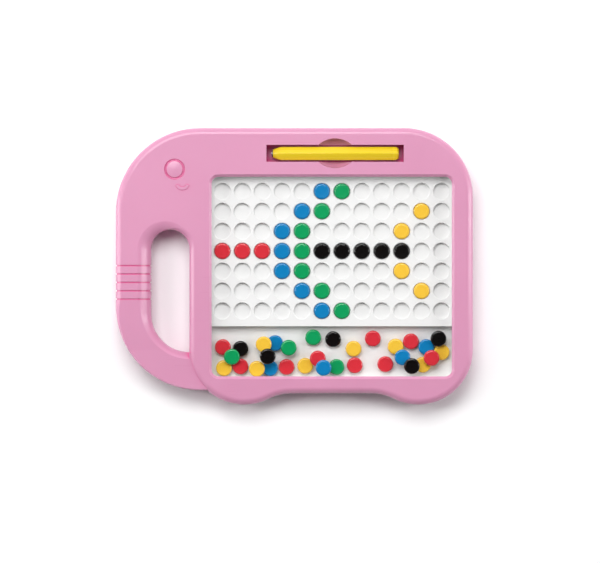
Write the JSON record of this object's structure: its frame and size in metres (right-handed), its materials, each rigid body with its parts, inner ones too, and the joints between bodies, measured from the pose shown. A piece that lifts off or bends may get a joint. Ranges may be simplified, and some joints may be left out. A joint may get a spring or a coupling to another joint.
{
  "type": "magnetic bead drawing board",
  "caption": "Elephant-shaped magnetic bead drawing board with a handle, clear window, pocket grid, bead tray and a magnetic pen in a recess.",
  "frame": {"origin": "middle of the outline on the flat underside, where the board lies on a table", "axes": "+Z out of the face, +Y towards the elephant's back (the pen's side), +X towards its hind end, away from the handle"},
  "size_m": [0.313, 0.2425, 0.0266],
  "materials": {
    "pink_abs": "satin moulded plastic",
    "clear_sheet": "clear glossy sheet",
    "white_board": "fine matte white",
    "screw_steel": "zinc plated",
    "pen_yellow": "glossy",
    "ferrule_grey": "satin",
    "magnet_steel": "nickel plated",
    "bead_red": "glossy",
    "bead_blue": "glossy",
    "bead_green": "glossy",
    "bead_yellow": "glossy",
    "bead_black": "glossy"
  },
  "bodies": {
    "board": {"front_shell": "pink_abs", "back_shell": "pink_abs", "window": "clear_sheet", "bead_board": "white_board", "bead_tray": "white_board", "housing_screws": "screw_steel", "buried_beads_red": "bead_red", "buried_beads_black": "bead_black", "buried_beads_yellow": "bead_yellow", "buried_beads_blue": "bead_blue", "buried_beads_green": "bead_green"},
    "pen": {"pen_barrel": "pen_yellow", "pen_end_cap": "pen_yellow", "pen_ferrule": "ferrule_grey", "pen_magnet": "magnet_steel"},
    "bead_blue_c6_r1": {"bead_blue_c6_r1": "bead_blue"},
    "bead_blue_c5_r2": {"bead_blue_c5_r2": "bead_blue"},
    "bead_blue_c4_r3": {"bead_blue_c4_r3": "bead_blue"},
    "bead_blue_c4_r4": {"bead_blue_c4_r4": "bead_blue"},
    "bead_blue_c4_r5": {"bead_blue_c4_r5": "bead_blue"},
    "bead_blue_c5_r6": {"bead_blue_c5_r6": "bead_blue"},
    "bead_blue_c6_r7": {"bead_blue_c6_r7": "bead_blue"},
    "bead_green_c7_r1": {"bead_green_c7_r1": "bead_green"},
    "bead_green_c6_r2": {"bead_green_c6_r2": "bead_green"},
    "bead_green_c5_r3": {"bead_green_c5_r3": "bead_green"},
    "bead_green_c5_r4": {"bead_green_c5_r4": "bead_green"},
    "bead_green_c5_r5": {"bead_green_c5_r5": "bead_green"},
    "bead_green_c6_r6": {"bead_green_c6_r6": "bead_green"},
    "bead_green_c7_r7": {"bead_green_c7_r7": "bead_green"},
    "bead_red_c1_r4": {"bead_red_c1_r4": "bead_red"},
    "bead_red_c2_r4": {"bead_red_c2_r4": "bead_red"},
    "bead_red_c3_r4": {"bead_red_c3_r4": "bead_red"},
    "bead_black_c6_r4": {"bead_black_c6_r4": "bead_black"},
    "bead_black_c7_r4": {"bead_black_c7_r4": "bead_black"},
    "bead_black_c8_r4": {"bead_black_c8_r4": "bead_black"},
    "bead_black_c9_r4": {"bead_black_c9_r4": "bead_black"},
    "bead_black_c10_r4": {"bead_black_c10_r4": "bead_black"},
    "bead_yellow_c11_r2": {"bead_yellow_c11_r2": "bead_yellow"},
    "bead_yellow_c10_r3": {"bead_yellow_c10_r3": "bead_yellow"},
    "bead_yellow_c10_r5": {"bead_yellow_c10_r5": "bead_yellow"},
    "bead_yellow_c11_r6": {"bead_yellow_c11_r6": "bead_yellow"},
    "loose_bead_1_green": {"loose_bead_1_green": "bead_green"},
    "loose_bead_2_green": {"loose_bead_2_green": "bead_green"},
    "loose_bead_3_black": {"loose_bead_3_black": "bead_black"},
    "loose_bead_4_yellow": {"loose_bead_4_yellow": "bead_yellow"},
    "loose_bead_5_red": {"loose_bead_5_red": "bead_red"},
    "loose_bead_6_green": {"loose_bead_6_green": "bead_green"},
    "loose_bead_7_black": {"loose_bead_7_black": "bead_black"},
    "loose_bead_8_blue": {"loose_bead_8_blue": "bead_blue"},
    "loose_bead_9_yellow": {"loose_bead_9_yellow": "bead_yellow"},
    "loose_bead_10_red": {"loose_bead_10_red": "bead_red"},
    "loose_bead_11_red": {"loose_bead_11_red": "bead_red"},
    "loose_bead_12_red": {"loose_bead_12_red": "bead_red"},
    "loose_bead_13_black": {"loose_bead_13_black": "bead_black"},
    "loose_bead_14_red": {"loose_bead_14_red": "bead_red"},
    "loose_bead_15_red": {"loose_bead_15_red": "bead_red"},
    "loose_bead_16_black": {"loose_bead_16_black": "bead_black"}
  },
  "joints": [
    {"name": "pen_lift", "type": "slide", "parent": "board", "child": "pen", "axis": [0, 0, 1], "range_m": [0, 0.06]},
    {"name": "bead_blue_c6_r1_lift", "type": "slide", "parent": "board", "child": "bead_blue_c6_r1", "axis": [0, 0, 1], "range_m": [0, 0.0056]},
    {"name": "bead_blue_c5_r2_lift", "type": "slide", "parent": "board", "child": "bead_blue_c5_r2", "axis": [0, 0, 1], "range_m": [0, 0.0056]},
    {"name": "bead_blue_c4_r3_lift", "type": "slide", "parent": "board", "child": "bead_blue_c4_r3", "axis": [0, 0, 1], "range_m": [0, 0.0056]},
    {"name": "bead_blue_c4_r4_lift", "type": "slide", "parent": "board", "child": "bead_blue_c4_r4", "axis": [0, 0, 1], "range_m": [0, 0.0056]},
    {"name": "bead_blue_c4_r5_lift", "type": "slide", "parent": "board", "child": "bead_blue_c4_r5", "axis": [0, 0, 1], "range_m": [0, 0.0056]},
    {"name": "bead_blue_c5_r6_lift", "type": "slide", "parent": "board", "child": "bead_blue_c5_r6", "axis": [0, 0, 1], "range_m": [0, 0.0056]},
    {"name": "bead_blue_c6_r7_lift", "type": "slide", "parent": "board", "child": "bead_blue_c6_r7", "axis": [0, 0, 1], "range_m": [0, 0.0056]},
    {"name": "bead_green_c7_r1_lift", "type": "slide", "parent": "board", "child": "bead_green_c7_r1", "axis": [0, 0, 1], "range_m": [0, 0.0056]},
    {"name": "bead_green_c6_r2_lift", "type": "slide", "parent": "board", "child": "bead_green_c6_r2", "axis": [0, 0, 1], "range_m": [0, 0.0056]},
    {"name": "bead_green_c5_r3_lift", "type": "slide", "parent": "board", "child": "bead_green_c5_r3", "axis": [0, 0, 1], "range_m": [0, 0.0056]},
    {"name": "bead_green_c5_r4_lift", "type": "slide", "parent": "board", "child": "bead_green_c5_r4", "axis": [0, 0, 1], "range_m": [0, 0.0056]},
    {"name": "bead_green_c5_r5_lift", "type": "slide", "parent": "board", "child": "bead_green_c5_r5", "axis": [0, 0, 1], "range_m": [0, 0.0056]},
    {"name": "bead_green_c6_r6_lift", "type": "slide", "parent": "board", "child": "bead_green_c6_r6", "axis": [0, 0, 1], "range_m": [0, 0.0056]},
    {"name": "bead_green_c7_r7_lift", "type": "slide", "parent": "board", "child": "bead_green_c7_r7", "axis": [0, 0, 1], "range_m": [0, 0.0056]},
    {"name": "bead_red_c1_r4_lift", "type": "slide", "parent": "board", "child": "bead_red_c1_r4", "axis": [0, 0, 1], "range_m": [0, 0.0056]},
    {"name": "bead_red_c2_r4_lift", "type": "slide", "parent": "board", "child": "bead_red_c2_r4", "axis": [0, 0, 1], "range_m": [0, 0.0056]},
    {"name": "bead_red_c3_r4_lift", "type": "slide", "parent": "board", "child": "bead_red_c3_r4", "axis": [0, 0, 1], "range_m": [0, 0.0056]},
    {"name": "bead_black_c6_r4_lift", "type": "slide", "parent": "board", "child": "bead_black_c6_r4", "axis": [0, 0, 1], "range_m": [0, 0.0056]},
    {"name": "bead_black_c7_r4_lift", "type": "slide", "parent": "board", "child": "bead_black_c7_r4", "axis": [0, 0, 1], "range_m": [0, 0.0056]},
    {"name": "bead_black_c8_r4_lift", "type": "slide", "parent": "board", "child": "bead_black_c8_r4", "axis": [0, 0, 1], "range_m": [0, 0.0056]},
    {"name": "bead_black_c9_r4_lift", "type": "slide", "parent": "board", "child": "bead_black_c9_r4", "axis": [0, 0, 1], "range_m": [0, 0.0056]},
    {"name": "bead_black_c10_r4_lift", "type": "slide", "parent": "board", "child": "bead_black_c10_r4", "axis": [0, 0, 1], "range_m": [0, 0.0056]},
    {"name": "bead_yellow_c11_r2_lift", "type": "slide", "parent": "board", "child": "bead_yellow_c11_r2", "axis": [0, 0, 1], "range_m": [0, 0.0056]},
    {"name": "bead_yellow_c10_r3_lift", "type": "slide", "parent": "board", "child": "bead_yellow_c10_r3", "axis": [0, 0, 1], "range_m": [0, 0.0056]},
    {"name": "bead_yellow_c10_r5_lift", "type": "slide", "parent": "board", "child": "bead_yellow_c10_r5", "axis": [0, 0, 1], "range_m": [0, 0.0056]},
    {"name": "bead_yellow_c11_r6_lift", "type": "slide", "parent": "board", "child": "bead_yellow_c11_r6", "axis": [0, 0, 1], "range_m": [0, 0.0056]},
    {"name": "loose_bead_1_green_lift", "type": "slide", "parent": "board", "child": "loose_bead_1_green", "axis": [0, 0, 1], "range_m": [0, 0.0056]},
    {"name": "loose_bead_2_green_lift", "type": "slide", "parent": "board", "child": "loose_bead_2_green", "axis": [0, 0, 1], "range_m": [0, 0.0056]},
    {"name": "loose_bead_3_black_drag", "type": "slide", "parent": "board", "child": "loose_bead_3_black", "axis": [0, 1, 0], "range_m": [0, 0.125]},
    {"name": "loose_bead_4_yellow_lift", "type": "slide", "parent": "board", "child": "loose_bead_4_yellow", "axis": [0, 0, 1], "range_m": [0, 0.0056]},
    {"name": "loose_bead_5_red_lift", "type": "slide", "parent": "board", "child": "loose_bead_5_red", "axis": [0, 0, 1], "range_m": [0, 0.0108]},
    {"name": "loose_bead_6_green_lift", "type": "slide", "parent": "board", "child": "loose_bead_6_green", "axis": [0, 0, 1], "range_m": [0, 0.0108]},
    {"name": "loose_bead_7_black_lift", "type": "slide", "parent": "board", "child": "loose_bead_7_black", "axis": [0, 0, 1], "range_m": [0, 0.0108]},
    {"name": "loose_bead_8_blue_drag", "type": "slide", "parent": "board", "child": "loose_bead_8_blue", "axis": [0, 1, 0], "range_m": [0, 0.12]},
    {"name": "loose_bead_9_yellow_lift", "type": "slide", "parent": "board", "child": "loose_bead_9_yellow", "axis": [0, 0, 1], "range_m": [0, 0.0108]},
    {"name": "loose_bead_10_red_lift", "type": "slide", "parent": "board", "child": "loose_bead_10_red", "axis": [0, 0, 1], "range_m": [0, 0.0108]},
    {"name": "loose_bead_11_red_lift", "type": "slide", "parent": "board", "child": "loose_bead_11_red", "axis": [0, 0, 1], "range_m": [0, 0.0108]},
    {"name": "loose_bead_12_red_lift", "type": "slide", "parent": "board", "child": "loose_bead_12_red", "axis": [0, 0, 1], "range_m": [0, 0.0108]},
    {"name": "loose_bead_13_black_drag", "type": "slide", "parent": "board", "child": "loose_bead_13_black", "axis": [0, 1, 0], "range_m": [0, 0.152]},
    {"name": "loose_bead_14_red_lift", "type": "slide", "parent": "board", "child": "loose_bead_14_red", "axis": [0, 0, 1], "range_m": [0, 0.0108]},
    {"name": "loose_bead_15_red_lift", "type": "slide", "parent": "board", "child": "loose_bead_15_red", "axis": [0, 0, 1], "range_m": [0, 0.0056]},
    {"name": "loose_bead_16_black_lift", "type": "slide", "parent": "board", "child": "loose_bead_16_black", "axis": [0, 0, 1], "range_m": [0, 0.0056]}
  ]
}
